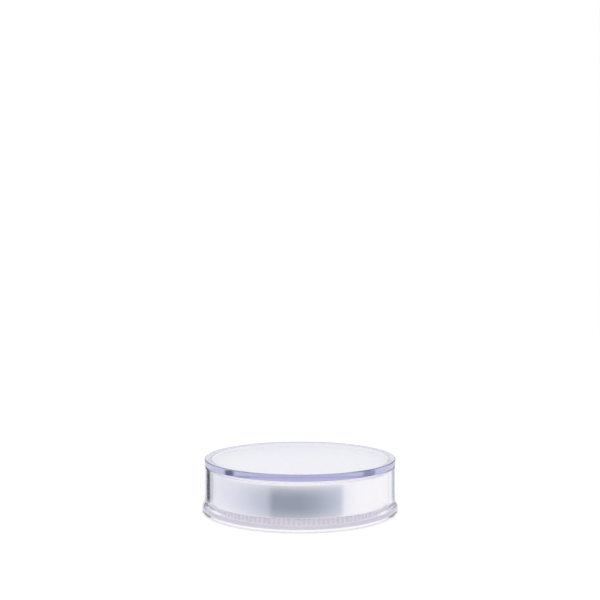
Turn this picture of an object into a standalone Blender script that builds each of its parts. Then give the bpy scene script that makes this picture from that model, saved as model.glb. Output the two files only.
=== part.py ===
"""Screw cap of a cream jar: a clear tinted shell over a silver sleeve and a threaded inner cap.

The cap stands on its open rim at z = 0, with its axis on Z.
Lengths below are in millimetres, and the meshes are made in metres.
Inside sizes drive the outside: the jar's neck sets the thread's bore, and each wall, gap
and clearance outside it is added in turn.
"""

import math

import bmesh
import bpy
from mathutils import Matrix, Vector

MM = 0.001

# Sizes of the threaded inner cap
NECK_BORE_RADIUS = 29.3      # wall that the thread stands on
INNER_WALL = 1.4
INNER_TOP = 1.3
INNER_CHAMFER = 0.4
MOUTH_LIFT = 0.6             # the inner cap's rim above the shell's rim
LIP_HEIGHT = 0.9             # plain lip below the knurled part of the collar
COLLAR_HEIGHT = 3.3
KNURL_RIBS = 125
KNURL_DEPTH = 0.35
KNURL_RIB_WIDTH = 1.2
KNURL_HEIGHT = 1.9
KNURL_TOP_MARGIN = 0.1       # plain edge left above the ribs
KNURL_END_SLOPE = 0.2

# Sizes of the thread
THREAD_DEPTH = 1.0
THREAD_BASE = 1.5
THREAD_CREST = 0.6
THREAD_PITCH = 3.0
THREAD_TURNS = 1.5
THREAD_START = 2.8           # middle of the ridge above the inner cap's rim
THREAD_RUN_OUT = 0.06        # part of a turn over which each end rises
THREAD_ROOT_BITE = 0.3       # how far the ridge's foot is sunk in the wall
THREAD_STEP_SHIFT = 0.5      # steps round, so the ridge's corners stand clear of the bore's corners

# Sizes of the liner
SEAL_HEIGHT = 12.1           # sealing face above the shell's rim
LINER_THICKNESS = 1.0

# Sizes of the silver sleeve
SLEEVE_WALL = 0.6
SLEEVE_TOP = 0.6
SLEEVE_EDGE_ROUND = 0.9

# Sizes of the clear shell
TOP_AIR_GAP = 0.5
SHELL_WALL = 2.1
SHELL_TOP = 2.5
SHELL_EDGE_ROUND = 0.3
SHELL_CORNER_ROUND = 0.5     # inner corner under the top plate
FOOT_PROUD = 0.75
FOOT_HEIGHT = 2.2            # upright part of the foot
FOOT_FLARE = 1.1             # height over which the body widens to the foot
FOOT_LOWER_ROUND = 0.25
RIM_CHAMFER = 0.15           # lead-in at the mouth of the shell

# Clearance between pieces that touch, and the fineness of round shapes
SEAT_CLEARANCE = 0.3
ROUND_STEPS = 96
ARC_STEPS = 4
SHARP_ANGLE = math.radians(30)
MERGE_DISTANCE = 0.001

# Heights, from the sealing face up to the top and down to the rim
LINER_TOP = SEAL_HEIGHT + LINER_THICKNESS
INNER_CEILING = LINER_TOP + SEAT_CLEARANCE
INNER_ROOF = INNER_CEILING + INNER_TOP
SLEEVE_CEILING = INNER_ROOF + SEAT_CLEARANCE
SLEEVE_ROOF = SLEEVE_CEILING + SLEEVE_TOP
SHELL_CEILING = SLEEVE_ROOF + TOP_AIR_GAP
SHELL_ROOF = SHELL_CEILING + SHELL_TOP
LIP_ROOF = MOUTH_LIFT + LIP_HEIGHT
COLLAR_ROOF = MOUTH_LIFT + COLLAR_HEIGHT
SLEEVE_FOOT = COLLAR_ROOF + SEAT_CLEARANCE

# Radii, from the neck outwards
INNER_RADIUS = NECK_BORE_RADIUS + INNER_WALL
LINER_RADIUS = NECK_BORE_RADIUS - SEAT_CLEARANCE
SLEEVE_BORE = INNER_RADIUS + SEAT_CLEARANCE
SLEEVE_RADIUS = SLEEVE_BORE + SLEEVE_WALL
SHELL_BORE = SLEEVE_RADIUS + SEAT_CLEARANCE
SHELL_RADIUS = SHELL_BORE + SHELL_WALL
FOOT_RADIUS = SHELL_RADIUS + FOOT_PROUD
LIP_RADIUS = SHELL_BORE - SEAT_CLEARANCE
COLLAR_RADIUS = LIP_RADIUS - KNURL_DEPTH
SLEEVE_BORE_ROUND = SLEEVE_EDGE_ROUND - SLEEVE_WALL


def clear_scene():
    """Remove every object that is in the scene."""
    for old in list(bpy.data.objects):
        bpy.data.objects.remove(old, do_unlink=True)


def plastic(name, color, roughness, transmission=0.0, metallic=0.0):
    """Make a Principled material for one piece."""
    material = bpy.data.materials.new(name)
    material.use_nodes = True
    shader = material.node_tree.nodes["Principled BSDF"]
    shader.inputs["Base Color"].default_value = (*color, 1.0)
    shader.inputs["Roughness"].default_value = roughness
    shader.inputs["Metallic"].default_value = metallic
    shader.inputs["Transmission Weight"].default_value = transmission
    shader.inputs["IOR"].default_value = 1.49
    material.diffuse_color = (*color, 1.0)
    return material


def rounded(corner, radius, start_angle, end_angle):
    """Points of an arc in a profile: corner is the arc's centre, angles are in degrees from +X."""
    points = []
    for step in range(ARC_STEPS + 1):
        angle = math.radians(start_angle + (end_angle - start_angle) * step / ARC_STEPS)
        points.append((corner[0] + radius * math.cos(angle), corner[1] + radius * math.sin(angle)))
    return points


def finish_mesh(name, work, material):
    """Turn a bmesh into a named object with smooth round faces and crisp edges."""
    bmesh.ops.recalc_face_normals(work, faces=work.faces)
    mesh = bpy.data.meshes.new(name)
    work.to_mesh(mesh)
    work.free()
    mesh.materials.append(material)
    mesh.shade_smooth()
    mesh.set_sharp_from_angle(angle=SHARP_ANGLE)
    piece = bpy.data.objects.new(name, mesh)
    bpy.context.scene.collection.objects.link(piece)
    return piece


def turned(name, profile, material):
    """Spin a profile of (radius, height) points about Z; both its ends meet the axis or each other."""
    work = bmesh.new()
    corners = [work.verts.new((radius * MM, 0.0, height * MM)) for radius, height in profile]
    edges = [work.edges.new(pair) for pair in zip(corners, corners[1:])]
    if profile[0][0] > 0.0:
        edges.append(work.edges.new((corners[-1], corners[0])))
    bmesh.ops.spin(work, geom=corners + edges, cent=(0, 0, 0), axis=(0, 0, 1), angle=math.tau,
                   steps=ROUND_STEPS, use_merge=True)
    bmesh.ops.remove_doubles(work, verts=work.verts, dist=MERGE_DISTANCE * MM)
    return finish_mesh(name, work, material)


def join_to(piece, addition):
    """Unite an added shape with its piece, and keep the shape as a hidden cutter."""
    addition.hide_render = True
    addition.display_type = "WIRE"
    union = piece.modifiers.new("join " + addition.name, "BOOLEAN")
    union.operation = "UNION"
    union.solver = "EXACT"
    union.object = addition


def over_shell():
    """Clear outer shell: a deep lid that flares to a proud foot, open at the bottom."""
    profile = [(0.0, SHELL_ROOF)]
    profile += rounded((SHELL_RADIUS - SHELL_EDGE_ROUND, SHELL_ROOF - SHELL_EDGE_ROUND),
                       SHELL_EDGE_ROUND, 90, 0)
    profile.append((SHELL_RADIUS, FOOT_HEIGHT + FOOT_FLARE))
    profile.append((FOOT_RADIUS, FOOT_HEIGHT))
    profile += rounded((FOOT_RADIUS - FOOT_LOWER_ROUND, FOOT_LOWER_ROUND),
                       FOOT_LOWER_ROUND, 0, -90)
    profile.append((SHELL_BORE + RIM_CHAMFER, 0.0))
    profile.append((SHELL_BORE, RIM_CHAMFER))
    profile += rounded((SHELL_BORE - SHELL_CORNER_ROUND, SHELL_CEILING - SHELL_CORNER_ROUND),
                       SHELL_CORNER_ROUND, 0, 90)
    profile.append((0.0, SHELL_CEILING))
    return turned("over_shell", profile, plastic("clear violet plastic", (0.80, 0.80, 0.93), 0.04,
                                                 transmission=0.9))


def silver_sleeve():
    """Silver cup that is pushed over the inner cap and shows through the shell."""
    profile = [(0.0, SLEEVE_ROOF)]
    profile += rounded((SLEEVE_RADIUS - SLEEVE_EDGE_ROUND, SLEEVE_ROOF - SLEEVE_EDGE_ROUND),
                       SLEEVE_EDGE_ROUND, 90, 0)
    profile.append((SLEEVE_RADIUS, SLEEVE_FOOT))
    profile.append((SLEEVE_BORE, SLEEVE_FOOT))
    profile += rounded((SLEEVE_BORE - SLEEVE_BORE_ROUND, SLEEVE_CEILING - SLEEVE_BORE_ROUND),
                       SLEEVE_BORE_ROUND, 0, 90)
    profile.append((0.0, SLEEVE_CEILING))
    return turned("silver_sleeve", profile, plastic("silver plating", (0.80, 0.81, 0.83), 0.15,
                                                    metallic=1.0))


def thread_ridge(material):
    """Helical ridge for the bore: a trapezium swept up the helix, rising from the wall at each end."""
    steps = round(THREAD_TURNS * ROUND_STEPS)
    root = NECK_BORE_RADIUS + THREAD_ROOT_BITE
    work = bmesh.new()
    rings = []
    for step in range(steps + 1):
        turn = THREAD_TURNS * step / steps
        rise = min(1.0, turn / THREAD_RUN_OUT, (THREAD_TURNS - turn) / THREAD_RUN_OUT)
        crest = NECK_BORE_RADIUS + 0.5 * THREAD_ROOT_BITE
        crest -= rise * (THREAD_DEPTH + 0.5 * THREAD_ROOT_BITE)
        middle = MOUTH_LIFT + THREAD_START + THREAD_PITCH * turn
        section = [
            (root, middle - 0.5 * THREAD_BASE),
            (crest, middle - 0.5 * THREAD_CREST),
            (crest, middle + 0.5 * THREAD_CREST),
            (root, middle + 0.5 * THREAD_BASE),
        ]
        turned_to = Matrix.Rotation(math.tau * (turn + THREAD_STEP_SHIFT / ROUND_STEPS), 3, "Z")
        rings.append([work.verts.new(turned_to @ Vector((radius * MM, 0.0, height * MM)))
                      for radius, height in section])
    for lower, upper in zip(rings, rings[1:]):
        for side in range(4):
            following = (side + 1) % 4
            work.faces.new((lower[side], lower[following], upper[following], upper[side]))
    work.faces.new(rings[0])
    work.faces.new(reversed(rings[-1]))
    return finish_mesh("thread_ridge_shape", work, material)


def knurl_ribs(material):
    """Ring of upright ribs with sloping ends, whose crests grip the shell's bore."""
    top = COLLAR_ROOF - KNURL_TOP_MARGIN
    bottom = top - KNURL_HEIGHT
    root = COLLAR_RADIUS - KNURL_DEPTH
    half_root = 0.5 * KNURL_RIB_WIDTH * (LIP_RADIUS - root) / KNURL_DEPTH
    work = bmesh.new()
    for rib in range(KNURL_RIBS):
        turned_to = Matrix.Rotation(math.tau * rib / KNURL_RIBS, 3, "Z")
        corners = [
            (root, -half_root, bottom),
            (root, half_root, bottom),
            (root, half_root, top),
            (root, -half_root, top),
            (LIP_RADIUS, 0.0, bottom + KNURL_END_SLOPE),
            (LIP_RADIUS, 0.0, top - KNURL_END_SLOPE),
        ]
        points = [work.verts.new(turned_to @ (Vector(corner) * MM)) for corner in corners]
        for face in ((0, 1, 2, 3), (0, 4, 1), (3, 2, 5), (0, 3, 5, 4), (1, 4, 5, 2)):
            work.faces.new([points[index] for index in face])
    return finish_mesh("knurl_ribs_shape", work, material)


def threaded_cap():
    """Moulded inner cap: a flat roof, a threaded wall, and a knurled collar with a plain lip below it."""
    material = plastic("white plastic", (0.86, 0.86, 0.90), 0.4)
    profile = [
        (0.0, INNER_ROOF),
        (INNER_RADIUS - INNER_CHAMFER, INNER_ROOF),
        (INNER_RADIUS, INNER_ROOF - INNER_CHAMFER),
        (INNER_RADIUS, COLLAR_ROOF),
        (COLLAR_RADIUS, COLLAR_ROOF),
        (COLLAR_RADIUS, LIP_ROOF),
        (LIP_RADIUS, LIP_ROOF),
        (LIP_RADIUS, MOUTH_LIFT + INNER_CHAMFER),
        (LIP_RADIUS - INNER_CHAMFER, MOUTH_LIFT),
        (NECK_BORE_RADIUS + INNER_CHAMFER, MOUTH_LIFT),
        (NECK_BORE_RADIUS, MOUTH_LIFT + INNER_CHAMFER),
        (NECK_BORE_RADIUS, INNER_CEILING),
        (0.0, INNER_CEILING),
    ]
    piece = turned("threaded_cap", profile, material)
    join_to(piece, thread_ridge(material))
    join_to(piece, knurl_ribs(material))
    return piece


def sealing_liner():
    """Soft disc that seals on the jar's rim."""
    profile = [
        (0.0, LINER_TOP),
        (LINER_RADIUS, LINER_TOP),
        (LINER_RADIUS, SEAL_HEIGHT),
        (0.0, SEAL_HEIGHT),
    ]
    return turned("sealing_liner", profile, plastic("liner foam", (0.90, 0.90, 0.88), 0.8))


def main():
    clear_scene()
    over_shell()
    silver_sleeve()
    threaded_cap()
    sealing_liner()


main()
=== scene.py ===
# %% [markdown]
# A screw cap for a cream jar, of the double-walled kind. A clear shell with a faint violet tint
# stands over a silver sleeve, and both sit on a moulded inner cap that carries the screw thread.
# The solid model gives the outer sizes and the places. This script gives the same four pieces
# fine round shapes, their finishes, and a pale studio that shows the clear plastic well.

# %% Load the solid model
import math

import bmesh
import bpy
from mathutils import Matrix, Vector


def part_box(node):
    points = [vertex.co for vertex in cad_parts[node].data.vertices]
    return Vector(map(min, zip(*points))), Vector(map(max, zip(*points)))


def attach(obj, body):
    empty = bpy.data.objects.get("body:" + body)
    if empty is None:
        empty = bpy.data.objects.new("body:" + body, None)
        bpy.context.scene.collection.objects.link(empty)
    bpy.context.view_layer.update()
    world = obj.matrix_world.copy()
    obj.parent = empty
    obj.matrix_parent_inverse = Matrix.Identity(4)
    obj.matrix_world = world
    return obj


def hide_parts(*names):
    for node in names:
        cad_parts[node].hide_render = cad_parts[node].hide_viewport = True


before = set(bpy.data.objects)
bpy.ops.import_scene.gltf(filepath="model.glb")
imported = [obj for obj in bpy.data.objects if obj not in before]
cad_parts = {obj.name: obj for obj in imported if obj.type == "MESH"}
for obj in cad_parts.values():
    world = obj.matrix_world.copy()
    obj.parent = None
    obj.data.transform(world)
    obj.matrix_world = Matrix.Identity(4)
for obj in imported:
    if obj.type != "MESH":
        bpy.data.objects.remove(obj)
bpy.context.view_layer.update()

print("nodes of the solid model:", sorted(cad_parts))

# %% [markdown]
# The outer radius and the levels of each piece are read from the solid model, so they can't drift
# away from it. What lies inside a piece, such as a wall or a round, has its own name, and the
# sizes that several cells share stand here. Lengths are in millimetres, which suits a small
# turned part, and MM turns them into metres.

# %% Read the sizes
MM = 0.001


def reach(node):
    """Outer radius, lowest level and highest level of a round node, in millimetres."""
    low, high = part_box(node)
    return high.x / MM, low.z / MM, high.z / MM


FOOT_RADIUS, RIM_LEVEL, SHELL_ROOF = reach("over_shell")
SLEEVE_RADIUS, SLEEVE_FOOT, SLEEVE_ROOF = reach("silver_sleeve")
LIP_RADIUS, MOUTH_LEVEL, CAP_ROOF = reach("threaded_cap")
LINER_RADIUS, SEAL_LEVEL, LINER_ROOF = reach("sealing_liner")

SEAT_CLEARANCE = 0.3
KNURL_RIBS = 125
LIP_HEIGHT = 0.9
LIP_ROOF = MOUTH_LEVEL + LIP_HEIGHT

SHELL_WALL = 2.1
SHELL_TOP = 2.5
FOOT_PROUD = 0.75
FOOT_HEIGHT = 2.2
FOOT_FLARE = 1.1
BODY_RADIUS = FOOT_RADIUS - FOOT_PROUD
SHELL_BORE = BODY_RADIUS - SHELL_WALL
SHELL_CEILING = SHELL_ROOF - SHELL_TOP
FLARE_START = FOOT_HEIGHT + FOOT_FLARE

print(f"cap {2 * FOOT_RADIUS:.1f} mm across and {SHELL_ROOF - RIM_LEVEL:.1f} mm high")

# %% [markdown]
# All four pieces are round, so each starts as a section: a few corners of (radius, height) that
# are spun about the Z axis. Rounded edges come afterwards, from a bevel on the ring of edges at
# a corner, as a toolmaker would break a sharp edge on the mould. A bevel on the finished ring
# keeps the section short, and its width can be changed without working out new points. A wide
# round gets more segments than a narrow one, and a plain chamfer has a single one.

# %% Spin a section and round its rings
ROUND_STEPS = 256
MERGE_DISTANCE = 0.001
RING_TOLERANCE = 0.01
SOFT_SEGMENTS = 10
ROUND_SEGMENTS = 6
SMALL_SEGMENTS = 4
FINE_SEGMENTS = 3
CHAMFER_SEGMENTS = 1


def spun(section, steps=ROUND_STEPS):
    """Mesh of a section of (radius, height) corners that is turned about Z."""
    work = bmesh.new()
    corners = [work.verts.new((radius * MM, 0.0, height * MM)) for radius, height in section]
    outline = [work.edges.new(pair) for pair in zip(corners, corners[1:])]
    bmesh.ops.spin(work, geom=corners + outline, cent=(0, 0, 0), axis=(0, 0, 1),
                   angle=math.tau, steps=steps, use_merge=True)
    bmesh.ops.remove_doubles(work, verts=work.verts, dist=MERGE_DISTANCE * MM)
    bmesh.ops.recalc_face_normals(work, faces=work.faces)
    return work


def on_ring(corner, radius, height):
    """True where a corner lies on the ring of a radius and a height."""
    off_radius = abs(math.hypot(corner.co.x, corner.co.y) / MM - radius)
    off_height = abs(corner.co.z / MM - height)
    return max(off_radius, off_height) < RING_TOLERANCE


def round_ring(work, radius, height, width, segments=ROUND_SEGMENTS):
    """Round the edge that runs round the piece at a radius and a height."""
    ring = [edge for edge in work.edges
            if all(on_ring(corner, radius, height) for corner in edge.verts)]
    bmesh.ops.bevel(work, geom=ring, offset=width * MM, segments=segments, profile=0.5,
                    affect="EDGES", material=-1)


print(f"round shapes have {ROUND_STEPS} steps, each {math.tau * BODY_RADIUS / ROUND_STEPS:.2f} mm long")

# %% [markdown]
# Every piece ends the same way. It is shaded smooth, apart from its sharp edges, and Weighted
# Normal lets the large flat faces keep their true direction. Without it the wide top plate would
# bend light near its rounded rim like a lens. Each piece then gets its finish, hangs on the body
# that carries it, and hides the solid that it stands for.

# %% Finish a piece
SHARP_ANGLE = math.radians(35)


def finished(work, name, finish, node):
    """Turn a mesh into an object, with its finish, that stands for a node of the solid model."""
    mesh = bpy.data.meshes.new(name)
    work.to_mesh(mesh)
    work.free()
    mesh.materials.append(finish)
    mesh.shade_smooth()
    mesh.set_sharp_from_angle(angle=SHARP_ANGLE)
    piece = bpy.data.objects.new(name, mesh)
    bpy.context.scene.collection.objects.link(piece)
    flats = piece.modifiers.new("flat faces stay flat", "WEIGHTED_NORMAL")
    flats.keep_sharp = True
    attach(piece, "root")
    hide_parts(node)
    print(f"{name}: {len(mesh.polygons)} faces in place of {node}")


# %% [markdown]
# Finishes are built from shader nodes. To keep the sums readable, a small class holds one socket
# and takes the usual signs, so that roughness = 0.1 + 0.05 * mask adds the Math nodes by itself.
# A recipe holds one node tree, and its add method makes any other node: first the settings, then
# the sockets. A socket goes by its name, or by its number where a node repeats a name. The Mix
# node does that for each kind of value, so the numbers of its colour sockets are written down.

# %% Write shader sums as plain sums
MIX_SHARE = 0
MIX_FIRST = 6
MIX_SECOND = 7
MIX_RESULT = 2
NOISE_DETAIL = 2.0


class Wire:
    """A socket that can be used in sums."""

    def __init__(self, recipe, socket):
        self.recipe = recipe
        self.socket = socket

    def math(self, operation, *others, clamp=False):
        """Result of a Math node on this socket and other values."""
        return self.recipe.wire("ShaderNodeMath", settings={"operation": operation, "use_clamp": clamp},
                                inputs=dict(enumerate([self, *others])))

    def step(self, start, width):
        """Mask that is 0 up to a start and rises to 1 over a width."""
        return ((self - start) / width).math("ADD", 0.0, clamp=True)

    def __add__(self, other):
        return self.math("ADD", other)

    def __radd__(self, other):
        return self.math("ADD", other)

    def __mul__(self, other):
        return self.math("MULTIPLY", other)

    def __rmul__(self, other):
        return self.math("MULTIPLY", other)

    def __sub__(self, other):
        return self.math("SUBTRACT", other)

    def __rsub__(self, other):
        return self * -1.0 + other

    def __truediv__(self, other):
        return self.math("DIVIDE", other)


class Recipe:
    """The nodes of one finish, or of the world."""

    def __init__(self, owner):
        owner.use_nodes = True
        self.tree = owner.node_tree
        self.tree.nodes.clear()

    def add(self, kind, settings=None, inputs=None):
        """Add a node, set it up, then fill or link its sockets."""
        node = self.tree.nodes.new(kind)
        for key, value in (settings or {}).items():
            if key == "stops":
                self.fill_ramp(node.color_ramp, value)
            else:
                setattr(node, key, value)
        for key, value in (inputs or {}).items():
            if isinstance(value, Wire):
                self.tree.links.new(value.socket, node.inputs[key])
            else:
                node.inputs[key].default_value = value
        return node

    def fill_ramp(self, ramp, stops):
        """Give a colour ramp its stops of (place, level)."""
        while len(ramp.elements) < len(stops):
            ramp.elements.new(1.0)
        for element, (place, level) in zip(ramp.elements, stops):
            element.position = place
            element.color = (level, level, level, 1.0)

    def wire(self, kind, output=0, settings=None, inputs=None):
        """Add a node and return one of its outputs."""
        return Wire(self, self.add(kind, settings, inputs).outputs[output])

    def place(self):
        """Place on the piece in metres."""
        return self.wire("ShaderNodeTexCoord", output="Object")

    def noise(self, size):
        """Soft random pattern from 0 to 1, with patches of about a size in millimetres."""
        return self.wire("ShaderNodeTexNoise", inputs={
            "Vector": self.place(), "Scale": 1.0 / (size * MM), "Detail": NOISE_DETAIL})

    def ramp(self, value, stops, low=0.0, high=1.0):
        """Level that follows a value from low to high through its stops of (value, level)."""
        span = high - low
        stops = [((place - low) / span, level) for place, level in stops]
        return self.wire("ShaderNodeValToRGB", settings={"stops": stops},
                         inputs={"Fac": (value - low) / span})

    def blend(self, share, first, second, way="MIX"):
        """Colour between two colours, or another way to join them."""
        return self.wire("ShaderNodeMix", output=MIX_RESULT,
                         settings={"data_type": "RGBA", "blend_type": way},
                         inputs={MIX_SHARE: share, MIX_FIRST: first, MIX_SECOND: second})

    def choose(self, share, first, second):
        """Shader between two shaders."""
        return self.wire("ShaderNodeMixShader", inputs=dict(enumerate([share, first, second])))

    def parts(self, vector):
        """The x, y and z of a vector."""
        node = self.add("ShaderNodeSeparateXYZ", inputs={"Vector": vector})
        return [Wire(self, output) for output in node.outputs]

    def bump(self, height, depth):
        """Surface direction of a relief, whose depth is in millimetres."""
        return self.wire("ShaderNodeBump", inputs={"Height": height, "Distance": depth * MM})


def new_finish(name):
    """Empty material with its recipe."""
    material = bpy.data.materials.new(name)
    return material, Recipe(material)


def off_axis(x, y):
    """Distance from the cap's axis in millimetres."""
    return (x * x + y * y).math("SQRT") / MM


print("ready to mix finishes")

# %% [markdown]
# The shell is moulded in clear acrylic, which bends light with an index of 1.49. Its violet tint
# lies in the plastic and not on its skin: light that crosses the thin wall stays almost white,
# and light that travels sideways through the top plate comes out clearly violet. Only an
# absorbing volume does both, so the surface stays colourless. Polished acrylic picks up faint
# handling haze, which is a very small change of roughness.

# %% Clear violet acrylic
ACRYLIC_INDEX = 1.49
ACRYLIC_COLOR = (1.0, 1.0, 1.0, 1.0)
TINT_DENSITY = 20.0
TINT_COLOR = (0.415, 0.415, 0.74, 1.0)
HAZE_PATCH = 9.0
HAZE_SHARE = [(0.45, 0.0), (0.75, 1.0)]
HAZE_ROUGHNESS = 0.012


def clear_acrylic():
    """Clear plastic that tints light by the distance that it travels inside."""
    material, recipe = new_finish("clear_violet_acrylic")
    haze = recipe.ramp(recipe.noise(HAZE_PATCH), HAZE_SHARE)
    surface = recipe.wire("ShaderNodeBsdfPrincipled", inputs={
        "Base Color": ACRYLIC_COLOR, "Roughness": haze * HAZE_ROUGHNESS,
        "IOR": ACRYLIC_INDEX, "Transmission Weight": 1.0})
    tint = recipe.wire("ShaderNodeVolumeAbsorption", inputs={
        "Color": TINT_COLOR, "Density": TINT_DENSITY})
    recipe.add("ShaderNodeOutputMaterial", inputs={"Surface": surface, "Volume": tint})
    return material


ACRYLIC = clear_acrylic()
print("finish:", ACRYLIC.name)

# %% [markdown]
# The shell itself is a deep lid: a thick top plate, a side wall, and a proud foot round its open
# rim. The top edge is small and crisp. The wall flares out to the foot with two soft bends, so
# the plastic has no step there that would catch the light as a dark line. The mouth inside has a
# small plain chamfer that guides the inner cap in.

# %% Over-shell
SHELL_EDGE_ROUND = 0.3
SHELL_CORNER_ROUND = 0.5
FLARE_ROUND = 0.8
FOOT_LOWER_ROUND = 0.5
RIM_CHAMFER = 0.05


def over_shell():
    """Clear outer shell with its proud foot."""
    work = spun([
        (0.0, SHELL_ROOF),
        (BODY_RADIUS, SHELL_ROOF),
        (BODY_RADIUS, FLARE_START),
        (FOOT_RADIUS, FOOT_HEIGHT),
        (FOOT_RADIUS, RIM_LEVEL),
        (SHELL_BORE, RIM_LEVEL),
        (SHELL_BORE, SHELL_CEILING),
        (0.0, SHELL_CEILING),
    ])
    round_ring(work, BODY_RADIUS, SHELL_ROOF, SHELL_EDGE_ROUND)
    round_ring(work, BODY_RADIUS, FLARE_START, FLARE_ROUND)
    round_ring(work, FOOT_RADIUS, FOOT_HEIGHT, FLARE_ROUND)
    round_ring(work, FOOT_RADIUS, RIM_LEVEL, FOOT_LOWER_ROUND)
    round_ring(work, SHELL_BORE, RIM_LEVEL, RIM_CHAMFER, segments=CHAMFER_SEGMENTS)
    round_ring(work, SHELL_BORE, SHELL_CEILING, SHELL_CORNER_ROUND)
    finished(work, "over_shell_skin", ACRYLIC, "over_shell")


over_shell()

# %% [markdown]
# The sleeve is what gives the cap its bright heart. It is metallised: a mirror-like layer with a
# slight satin, so reflections are soft at their borders. A thin coat is never quite even, which
# shows as a faint drift of roughness and the softest ripple. Near the edge of the sleeve's top the
# base colour is painted a little darker and cooler: a painted shade that gives the pale violet ring
# in the photo. That painted shade stops where the top bends down, because the shoulder has to stay
# bright: it draws the white line under the plate.

# %% Satin silver
SILVER_COLOR = (0.985, 0.97, 0.985, 1.0)
SILVER_DEEP_COLOR = (0.96, 0.945, 0.965, 1.0)
PAINTED_RIM_SHADE_COLOR = (0.86, 0.85, 0.93, 1.0)
PAINTED_RIM_SHADE_STOPS = [(27.0, 0.0), (30.7, 1.0)]
SILVER_RIM_DEPTH = 0.1
SILVER_REACH = 40.0
SILVER_ROUGHNESS = 0.10
SILVER_DRIFT = 0.04
SILVER_PATCH = 6.0
SILVER_RIPPLE_SIZE = 1.5
SILVER_RIPPLE_DEPTH = 0.0008


def satin_silver():
    """Metallised surface with a soft satin, and a painted shade near the edge of its top."""
    material, recipe = new_finish("satin_silver")
    drift = recipe.noise(SILVER_PATCH)
    x, y, z = recipe.parts(recipe.place())
    # Painted shade: near the edge of the top the base colour turns darker and cooler.
    painted_rim_shade = recipe.ramp(off_axis(x, y), PAINTED_RIM_SHADE_STOPS, high=SILVER_REACH)
    on_top = (z / MM).step(SLEEVE_ROOF - SILVER_RIM_DEPTH, SILVER_RIM_DEPTH)
    coat = recipe.blend(drift, SILVER_COLOR, SILVER_DEEP_COLOR)
    surface = recipe.wire("ShaderNodeBsdfPrincipled", inputs={
        "Base Color": recipe.blend(painted_rim_shade * on_top, coat, PAINTED_RIM_SHADE_COLOR),
        "Metallic": 1.0,
        "Roughness": SILVER_ROUGHNESS + drift * SILVER_DRIFT,
        "Normal": recipe.bump(recipe.noise(SILVER_RIPPLE_SIZE), SILVER_RIPPLE_DEPTH)})
    recipe.add("ShaderNodeOutputMaterial", inputs={"Surface": surface})
    return material


SILVER = satin_silver()
print("finish:", SILVER.name)

# %% [markdown]
# The sleeve is a thin cup, upside down, with a soft shoulder. The shoulder matters in the photo:
# it turns the reflection from the dark front of the room up to the bright ceiling, and so draws
# the white line under the top plate. Its mouth is hemmed, which a small bevel stands for, and it
# ends a hair above the collar of the inner cap.

# %% Silver sleeve
SLEEVE_WALL = 0.6
SLEEVE_TOP = 0.6
SLEEVE_SHOULDER = 0.9
SLEEVE_HEM = 0.15
SLEEVE_BORE = SLEEVE_RADIUS - SLEEVE_WALL
SLEEVE_CEILING = SLEEVE_ROOF - SLEEVE_TOP
TOUCH_GAP = 0.02
SLEEVE_SEAT = SLEEVE_FOOT - SEAT_CLEARANCE + TOUCH_GAP


def silver_sleeve():
    """Silver cup between the shell and the inner cap."""
    work = spun([
        (0.0, SLEEVE_ROOF),
        (SLEEVE_RADIUS, SLEEVE_ROOF),
        (SLEEVE_RADIUS, SLEEVE_SEAT),
        (SLEEVE_BORE, SLEEVE_SEAT),
        (SLEEVE_BORE, SLEEVE_CEILING),
        (0.0, SLEEVE_CEILING),
    ])
    round_ring(work, SLEEVE_RADIUS, SLEEVE_ROOF, SLEEVE_SHOULDER, segments=SOFT_SEGMENTS)
    round_ring(work, SLEEVE_BORE, SLEEVE_CEILING, SLEEVE_SHOULDER - SLEEVE_WALL)
    round_ring(work, SLEEVE_RADIUS, SLEEVE_SEAT, SLEEVE_HEM, segments=FINE_SEGMENTS)
    round_ring(work, SLEEVE_BORE, SLEEVE_SEAT, SLEEVE_HEM, segments=FINE_SEGMENTS)
    finished(work, "silver_sleeve_skin", SILVER, "silver_sleeve")


silver_sleeve()

# %% [markdown]
# The inner cap is moulded in an opaque white plastic with a cool cast. A moulding tool leaves a
# fine grain on it. Its collar is knurled, and light that falls between two ribs is lost, which is
# painted into the base colour as shade: the whole knurled band is painted a little darker, and its
# grooves a darker mauve. The mask of the grooves is a cosine of the angle round the axis, kept to
# the outside of the collar and above its plain lip.

# %% White moulding plastic
WHITE_COLOR = (0.95, 0.91, 0.965, 1.0)
WHITE_DEEP_COLOR = (0.90, 0.86, 0.925, 1.0)
GROOVE_SHADE_COLOR = (0.50, 0.47, 0.56, 1.0)
COLLAR_SHADE_BASE = 0.25
GROOVE_SHADE_SHARE = 0.38
GROOVE_START = 31.0
GROOVE_FADE = 0.2
WHITE_ROUGHNESS = 0.32
WHITE_DRIFT = 0.12
WHITE_PATCH = 5.0
GRAIN_SIZE = 0.25
GRAIN_DEPTH = 0.004


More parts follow.
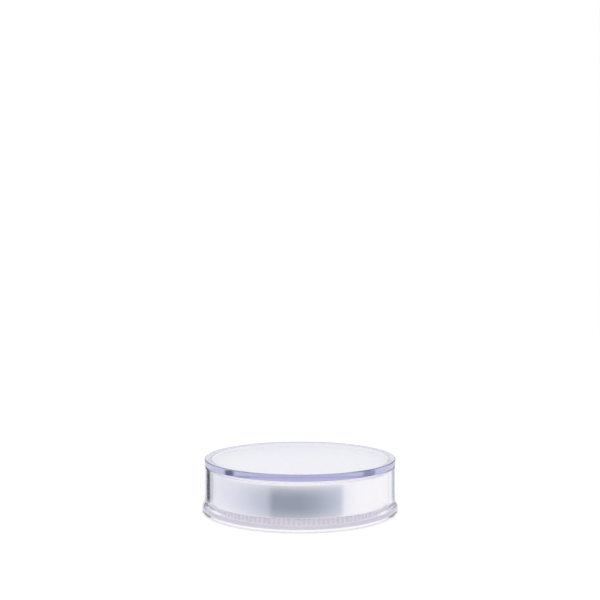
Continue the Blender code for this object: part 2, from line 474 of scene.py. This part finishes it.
def white_plastic():
    """Opaque moulded plastic with a fine grain, and painted shade on its knurled collar."""
    material, recipe = new_finish("white_moulding_plastic")
    drift = recipe.noise(WHITE_PATCH)
    grain = recipe.noise(GRAIN_SIZE)
    x, y, z = recipe.parts(recipe.place())
    stroke = 0.5 - 0.5 * (y.math("ARCTAN2", x) * KNURL_RIBS).math("COSINE")
    outside = off_axis(x, y).step(GROOVE_START, GROOVE_FADE)
    over_lip = (z / MM).step(LIP_ROOF, GROOVE_FADE)
    # Painted shade: the knurled band above the lip is darkened a little, and its grooves most.
    painted_groove_shade = (stroke * GROOVE_SHADE_SHARE + COLLAR_SHADE_BASE) * outside * over_lip
    skin = recipe.blend(drift, WHITE_COLOR, WHITE_DEEP_COLOR)
    surface = recipe.wire("ShaderNodeBsdfPrincipled", inputs={
        "Base Color": recipe.blend(painted_groove_shade, skin, GROOVE_SHADE_COLOR),
        "Roughness": WHITE_ROUGHNESS + grain * WHITE_DRIFT,
        "IOR": ACRYLIC_INDEX,
        "Normal": recipe.bump(grain, GRAIN_DEPTH)})
    recipe.add("ShaderNodeOutputMaterial", inputs={"Surface": surface})
    return material


WHITE = white_plastic()
print("finish:", WHITE.name)

# %% [markdown]
# The inner cap has a collar at its mouth that fills the bore of the shell. The collar's upper
# part is knurled: fine upright ribs that bite into the shell and keep it from turning when the
# cap is screwed down. They show through the foot as fine strokes. The section is spun with six
# steps to a rib, and then the steps on a rib are pushed outwards, so the knurl is part of one
# closed skin. Lip and ribs reach a hair into the shell: with a film of air between them, the
# shell would mirror the room there and hide the collar.

# %% Body of the inner cap
INNER_WALL = 1.4
INNER_TOP = 1.3
NECK_BORE = LIP_RADIUS - SLEEVE_WALL - SEAT_CLEARANCE - INNER_WALL
INNER_RADIUS = NECK_BORE + INNER_WALL
INNER_CEILING = CAP_ROOF - INNER_TOP
INNER_EDGE_ROUND = 0.4
LIP_ROUND = 0.15
COLLAR_HEIGHT = 3.3
COLLAR_ROOF = MOUTH_LEVEL + COLLAR_HEIGHT
KNURL_DEPTH = 0.35
KNURL_HEIGHT = 2.0
KNURL_END_SLOPE = 0.2
KNURL_CREST_FOOT = COLLAR_ROOF - KNURL_HEIGHT + KNURL_END_SLOPE
STEPS_PER_RIB = 6
CONTACT_BITE = 0.015
CONTACT_RADIUS = SHELL_BORE + CONTACT_BITE
COLLAR_RADIUS = CONTACT_RADIUS - KNURL_DEPTH


def rib_height(angle):
    """Share of the knurl's depth at an angle round the collar."""
    return max(0.0, math.cos(angle * KNURL_RIBS))


def inner_cap_body():
    """Closed skin of the inner cap, with its knurl and without its thread."""
    work = spun([
        (0.0, CAP_ROOF),
        (INNER_RADIUS, CAP_ROOF),
        (INNER_RADIUS, COLLAR_ROOF),
        (COLLAR_RADIUS, COLLAR_ROOF),
        (COLLAR_RADIUS, KNURL_CREST_FOOT),
        (COLLAR_RADIUS, KNURL_CREST_FOOT - KNURL_END_SLOPE),
        (COLLAR_RADIUS, LIP_ROOF),
        (CONTACT_RADIUS, LIP_ROOF),
        (CONTACT_RADIUS, MOUTH_LEVEL),
        (NECK_BORE, MOUTH_LEVEL),
        (NECK_BORE, INNER_CEILING),
        (0.0, INNER_CEILING),
    ], steps=KNURL_RIBS * STEPS_PER_RIB)
    crests = [corner for corner in work.verts
              if on_ring(corner, COLLAR_RADIUS, COLLAR_ROOF)
              or on_ring(corner, COLLAR_RADIUS, KNURL_CREST_FOOT)]
    for corner in crests:
        height = rib_height(math.atan2(corner.co.y, corner.co.x))
        corner.co.xy *= 1.0 + height * KNURL_DEPTH / COLLAR_RADIUS
    round_ring(work, INNER_RADIUS, CAP_ROOF, INNER_EDGE_ROUND, segments=FINE_SEGMENTS)
    round_ring(work, CONTACT_RADIUS, MOUTH_LEVEL, LIP_ROUND, segments=SMALL_SEGMENTS)
    round_ring(work, NECK_BORE, MOUTH_LEVEL, INNER_EDGE_ROUND, segments=SMALL_SEGMENTS)
    return work


cap_work = inner_cap_body()
print(f"{KNURL_RIBS} ribs, {math.tau * LIP_RADIUS / KNURL_RIBS:.2f} mm apart")

# %% [markdown]
# The thread is one ridge that winds one and a half turns up the bore. It is the same spin with a
# rise: the section of the ridge moves up a little with each step. Its crest is then rounded, and
# at both ends the ridge sinks into the wall, as it does in a mould that has to unscrew.

# %% Screw thread
THREAD_DEPTH = 1.0
THREAD_BASE = 1.5
THREAD_CREST = 0.6
THREAD_PITCH = 3.0
THREAD_TURNS = 1.5
THREAD_LEAD_IN = 2.8
THREAD_START = MOUTH_LEVEL + THREAD_LEAD_IN
THREAD_RUN_OUT = 0.06
THREAD_ROOT_BITE = 0.3
THREAD_STEPS = 240
THREAD_CREST_ROUND = 0.15
LENGTHWISE_RISE = 0.5


def radius_of(corner):
    """Distance of a corner from the axis, in millimetres."""
    return math.hypot(corner.co.x, corner.co.y) / MM


def turns_up(corner):
    """Turns from the start of the thread to a corner of the ridge."""
    part = math.atan2(corner.co.y, corner.co.x) / math.tau
    rise = (corner.co.z / MM - THREAD_START) / THREAD_PITCH
    return part + round(rise - part)


def runs_along(edge):
    """True for an edge that runs along the ridge, and so rises little for its length."""
    first, second = edge.verts
    return abs(first.co.z - second.co.z) < LENGTHWISE_RISE * edge.calc_length()


def thread_ridge():
    """Ridge of the thread, with its foot inside the wall of the bore."""
    root = NECK_BORE + THREAD_ROOT_BITE
    crest = NECK_BORE - THREAD_DEPTH
    section = [
        (root, -0.5 * THREAD_BASE),
        (crest, -0.5 * THREAD_CREST),
        (crest, 0.5 * THREAD_CREST),
        (root, 0.5 * THREAD_BASE),
    ]
    ridge = bmesh.new()
    corners = [ridge.verts.new((radius * MM, 0.0, (THREAD_START + height) * MM))
               for radius, height in section]
    ridge.faces.new(corners)
    climb = THREAD_PITCH * THREAD_TURNS / THREAD_STEPS
    bmesh.ops.spin(ridge, geom=list(ridge.faces), cent=(0, 0, 0), axis=(0, 0, 1),
                   dvec=(0, 0, climb * MM), angle=math.tau * THREAD_TURNS, steps=THREAD_STEPS)
    crest_edges = [edge for edge in ridge.edges
                   if runs_along(edge)
                   and all(radius_of(corner) < crest + RING_TOLERANCE for corner in edge.verts)]
    bmesh.ops.bevel(ridge, geom=crest_edges, offset=THREAD_CREST_ROUND * MM,
                    segments=FINE_SEGMENTS, profile=0.5, affect="EDGES", material=-1)
    bmesh.ops.recalc_face_normals(ridge, faces=ridge.faces)
    return ridge


def sink_ends(ridge):
    """Let both ends of the ridge run out into the wall."""
    sunk = NECK_BORE + 0.5 * THREAD_ROOT_BITE
    for corner in ridge.verts:
        turn = turns_up(corner)
        rise = max(0.0, min(1.0, turn / THREAD_RUN_OUT, (THREAD_TURNS - turn) / THREAD_RUN_OUT))
        radius = radius_of(corner)
        if radius < sunk:
            corner.co.xy *= (sunk + (radius - sunk) * rise) / radius


def take_in(work, addition):
    """Move a shape into the mesh of the piece that it belongs to."""
    carrier = bpy.data.meshes.new("carrier")
    addition.to_mesh(carrier)
    addition.free()
    work.from_mesh(carrier)
    bpy.data.meshes.remove(carrier)


ridge_work = thread_ridge()
sink_ends(ridge_work)
print(f"thread: {THREAD_TURNS} turns, pitch {THREAD_PITCH} mm, {len(ridge_work.faces)} faces")
take_in(cap_work, ridge_work)
finished(cap_work, "inner_cap", WHITE, "threaded_cap")

# %% [markdown]
# The liner is a disc punched from foam sheet, and it seals on the rim of the jar. Closed cells
# show on its skin as tiny rounded dimples, with sunken borders that get a slightly darker painted
# shade. A Voronoi pattern gives both that painted shade of the borders and the relief.

# %% Foam finish
FOAM_COLOR = (0.87, 0.87, 0.84, 1.0)
FOAM_BORDER_SHADE_COLOR = (0.74, 0.74, 0.71, 1.0)
FOAM_BORDER = [(0.25, 0.0), (0.75, 1.0)]
FOAM_CELL = 0.45
FOAM_DEPTH = 0.03
FOAM_ROUGHNESS = 0.75
FOAM_BORDER_ROUGHNESS = 0.15


def liner_foam():
    """Closed-cell foam sheet."""
    material, recipe = new_finish("liner_foam_sheet")
    cells = recipe.wire("ShaderNodeTexVoronoi", inputs={
        "Vector": recipe.place(), "Scale": 1.0 / (FOAM_CELL * MM)})
    border = recipe.ramp(cells, FOAM_BORDER)
    # Painted shade: the base colour darkens on the sunken borders between the cells.
    surface = recipe.wire("ShaderNodeBsdfPrincipled", inputs={
        "Base Color": recipe.blend(border, FOAM_COLOR, FOAM_BORDER_SHADE_COLOR),
        "Roughness": FOAM_ROUGHNESS + border * FOAM_BORDER_ROUGHNESS,
        "Normal": recipe.bump(1.0 - border, FOAM_DEPTH)})
    recipe.add("ShaderNodeOutputMaterial", inputs={"Surface": surface})
    return material


FOAM = liner_foam()
print("finish:", FOAM.name)

# %% [markdown]
# The disc itself is spun like the other pieces, because a short section gives it true flat faces.
# The punch drags the skin of the foam down as it cuts, so both edges get a small round.

# %% Sealing liner
LINER_EDGE_ROUND = 0.12


def sealing_liner():
    """Foam disc against the ceiling of the inner cap."""
    work = spun([
        (0.0, LINER_ROOF),
        (LINER_RADIUS, LINER_ROOF),
        (LINER_RADIUS, SEAL_LEVEL),
        (0.0, SEAL_LEVEL),
    ])
    round_ring(work, LINER_RADIUS, LINER_ROOF, LINER_EDGE_ROUND, segments=FINE_SEGMENTS)
    round_ring(work, LINER_RADIUS, SEAL_LEVEL, LINER_EDGE_ROUND, segments=FINE_SEGMENTS)
    finished(work, "sealing_liner_disc", FOAM, "sealing_liner")


sealing_liner()

# %% [markdown]
# Clear plastic has no look of its own: it shows the room. The reflections in the photo suggest a
# white room with a dim front, which the silver mirrors as its grey middle, and dark cards behind
# the cap on both sides. The low parts of the cards draw the dark lines near the sides of the wall,
# and their high parts the two dark strokes in the violet edge of the plate. Levels follow the
# direction round the cap: 0 degrees is the front, and 90 is the side of +X.

# %% Light levels of the room
ROOM_LEVELS = [
    (-180, 1.0), (-120, 0.85), (-86, 0.77), (-60, 0.64), (-40, 0.53), (-33, 0.33), (0, 0.33),
    (20, 0.40), (44, 0.55), (51, 0.62), (57, 0.90), (75, 1.0), (180, 1.0),
]
LOW_CARDS = [
    (-180, 1.0), (-156, 1.0), (-154, 0.02), (-141, 0.02), (-139, 1.0), (147, 1.0),
    (150, 0.38), (158, 0.38), (161, 1.0), (180, 1.0),
]
HIGH_CARDS = [
    (-180, 0.97), (-154, 0.97), (-152, 0.48), (-145, 0.48), (-143, 1.0), (143, 1.0),
    (145, 0.16), (150, 0.16), (152, 0.97), (180, 0.97),
]


def round_the_cap(recipe, x, y, levels):
    """Level that follows the direction round the cap, in degrees from the front."""
    angle = x.math("ARCTAN2", y * -1.0).math("DEGREES")
    return recipe.ramp(angle, levels, low=-180, high=180)


print("levels round the cap:", len(ROOM_LEVELS), "stops")

# %% [markdown]
# The world is white to the camera. For everything else it carries the levels above. The dim
# front lies below the horizon, where the upright mirror of the sleeve looks, and turns white
# towards it. The horizon itself is a shade darker, which gives the far edge of the plate its soft
# violet line. Overhead the cards fade to white, so the flat top mirrors a clean ceiling when it
# is seen from above. Dim light is tinted blue, because the greys in the photo are cool.

# %% World
WHITE_LIGHT = (1.0, 1.0, 1.0, 1.0)
DIM_TINT = (0.90, 1.04, 1.38, 1.0)
HORIZON_DIP = [(-0.14, 1.0), (-0.11, 0.80), (0.11, 0.80), (0.155, 0.86), (0.167, 1.0)]
FRONT_RISE = [(-0.17, 0.0), (-0.08, 1.0)]
CARD_CHANGE_START = -0.05
CARD_CHANGE_WIDTH = 0.1
OVERHEAD = [(0.3, 0.0), (0.45, 1.0)]


def between(share, first, second):
    """Value that goes from a first to a second one as the share goes from 0 to 1."""
    return first + (second - first) * share


def studio_world():
    """White room with a dim front, and dark cards at both sides of its rear."""
    world = bpy.data.worlds.new("pale_studio")
    bpy.context.scene.world = world
    recipe = Recipe(world)
    x, y, z = recipe.parts(recipe.wire("ShaderNodeTexCoord", output="Generated"))
    low = round_the_cap(recipe, x, y, LOW_CARDS)
    high = round_the_cap(recipe, x, y, HIGH_CARDS)
    cards = between(z.step(CARD_CHANGE_START, CARD_CHANGE_WIDTH), low, high)
    cards = between(recipe.ramp(z, OVERHEAD), cards, 1.0)
    room = round_the_cap(recipe, x, y, ROOM_LEVELS)
    room = between(recipe.ramp(z, FRONT_RISE, low=-1.0), room, 1.0)
    light = room * cards * recipe.ramp(z, HORIZON_DIP, low=-1.0)
    tint = recipe.blend(light, DIM_TINT, WHITE_LIGHT)
    seen = recipe.blend(1.0, light, tint, way="MULTIPLY")
    to_camera = recipe.wire("ShaderNodeLightPath", output="Is Camera Ray")
    studio = recipe.wire("ShaderNodeBackground", inputs={"Color": seen})
    white = recipe.wire("ShaderNodeBackground", inputs={"Color": WHITE_LIGHT})
    both = recipe.choose(to_camera, studio, white)
    recipe.add("ShaderNodeOutputWorld", inputs={"Surface": both})


studio_world()
print("world:", bpy.context.scene.world.name)

# %% [markdown]
# The floor does two jobs. The camera sees a nearly white table with the soft shadow of the cap.
# Mirrors and clear plastic see something else: the sleeve, looked at from above, mirrors the table
# in front of the cap. For them the table glows white in a ring close to the cap and in a second
# one further out, which is painted light, and elsewhere the table lets the light levels of the
# room through. So the dim front fades towards the foot and the shoulder of the sleeve, as in the
# photo. Front and rear have their own rings, as shares of what shines through at each distance
# from the axis in millimetres.

# %% Floor
FLOOR_HALF = 1.5
FLOOR_DROP = 0.02
FLOOR_COLOR = (0.90, 0.90, 0.90, 1.0)
FLOOR_GLOW = 0.22
FRONT_RINGS = [(36, 0.0), (46, 0.60), (51, 0.74), (56, 0.88), (64, 1.0), (84, 1.0), (94, 0.88),
               (100, 0.74), (103, 0.40), (106, 0.0)]
REAR_RINGS = [(41, 0.0), (46, 1.0), (100, 1.0), (104, 0.0), (123, 0.0), (127, 1.0)]
FRONT_EDGE = 10.0
RING_REACH = 200.0


def table_finish():
    """White table for the camera, and painted light for mirrors and clear plastic: white glowing rings.
    """
    material, recipe = new_finish("pale_table")
    x, y = recipe.parts(recipe.place())[:2]
    front, rear = [recipe.ramp(off_axis(x, y), rings, high=RING_REACH)
                   for rings in (FRONT_RINGS, REAR_RINGS)]
    behind = (y / MM).step(-0.5 * FRONT_EDGE, FRONT_EDGE)
    clear = between(behind, front, rear)
    to_camera = recipe.wire("ShaderNodeLightPath", output="Is Camera Ray")
    to_matt = recipe.wire("ShaderNodeLightPath", output="Is Diffuse Ray")
    matt = recipe.wire("ShaderNodeBsdfDiffuse", inputs={"Color": FLOOR_COLOR})
    glow = recipe.wire("ShaderNodeEmission", inputs={"Strength": to_camera * FLOOR_GLOW})
    table = recipe.wire("ShaderNodeAddShader", inputs={0: matt, 1: glow})
    # Painted light: mirrors and clear plastic see the table glow white in its rings.
    ring = recipe.wire("ShaderNodeEmission", inputs={"Color": WHITE_LIGHT})
    through = recipe.wire("ShaderNodeBsdfTransparent")
    rings = recipe.choose(clear, ring, through)
    both = recipe.choose(to_camera + to_matt, rings, table)
    recipe.add("ShaderNodeOutputMaterial", inputs={"Surface": both})
    return material


def floor():
    """Large table under the cap."""
    work = bmesh.new()
    bmesh.ops.create_grid(work, x_segments=1, y_segments=1, size=FLOOR_HALF)
    bmesh.ops.translate(work, verts=work.verts, vec=(0, 0, (RIM_LEVEL - FLOOR_DROP) * MM))
    mesh = bpy.data.meshes.new("table")
    work.to_mesh(mesh)
    work.free()
    mesh.materials.append(table_finish())
    table = bpy.data.objects.new("table", mesh)
    bpy.context.scene.collection.objects.link(table)


floor()
print("table: drawn to", FLOOR_HALF, "m each way")

# %% [markdown]
# The photo was taken with a level camera that stands well above the cap, so the cap lies low in
# the picture and its upright edges stay upright. Distance and height are counted in radii of the
# cap's body, as they were measured from the curves of its rim. The plate's violet edge is light
# that has been mirrored many times inside the plastic, so more bounces are allowed than usual.

# %% Camera and light paths
CAMERA_DISTANCE = 9.40
CAMERA_HEIGHT = 2.192
SENSOR_WIDTH = 36.0
PICTURE_SIDE = 600
FOCAL_PIXELS = 893
MOST_BOUNCES = 24
CLEAR_BOUNCES = 16
MATT_BOUNCES = 12
LEVEL_TURN = math.radians(90)


def camera():
    """Level camera in front of the cap."""
    data = bpy.data.cameras.new("camera")
    data.sensor_width = SENSOR_WIDTH
    data.lens = FOCAL_PIXELS / PICTURE_SIDE * SENSOR_WIDTH
    eye = bpy.data.objects.new("camera", data)
    eye.location = (0, -CAMERA_DISTANCE * BODY_RADIUS * MM, CAMERA_HEIGHT * BODY_RADIUS * MM)
    eye.rotation_euler = (LEVEL_TURN, 0, 0)
    bpy.context.scene.collection.objects.link(eye)
    bpy.context.scene.camera = eye
    return data.lens


lens = camera()
scene = bpy.context.scene
scene.view_settings.view_transform = "Standard"
scene.cycles.max_bounces = MOST_BOUNCES
scene.cycles.glossy_bounces = CLEAR_BOUNCES
scene.cycles.transmission_bounces = CLEAR_BOUNCES
scene.cycles.diffuse_bounces = MATT_BOUNCES
scene.cycles.blur_glossy = 0.0
print(f"camera: lens {lens:.1f} mm")
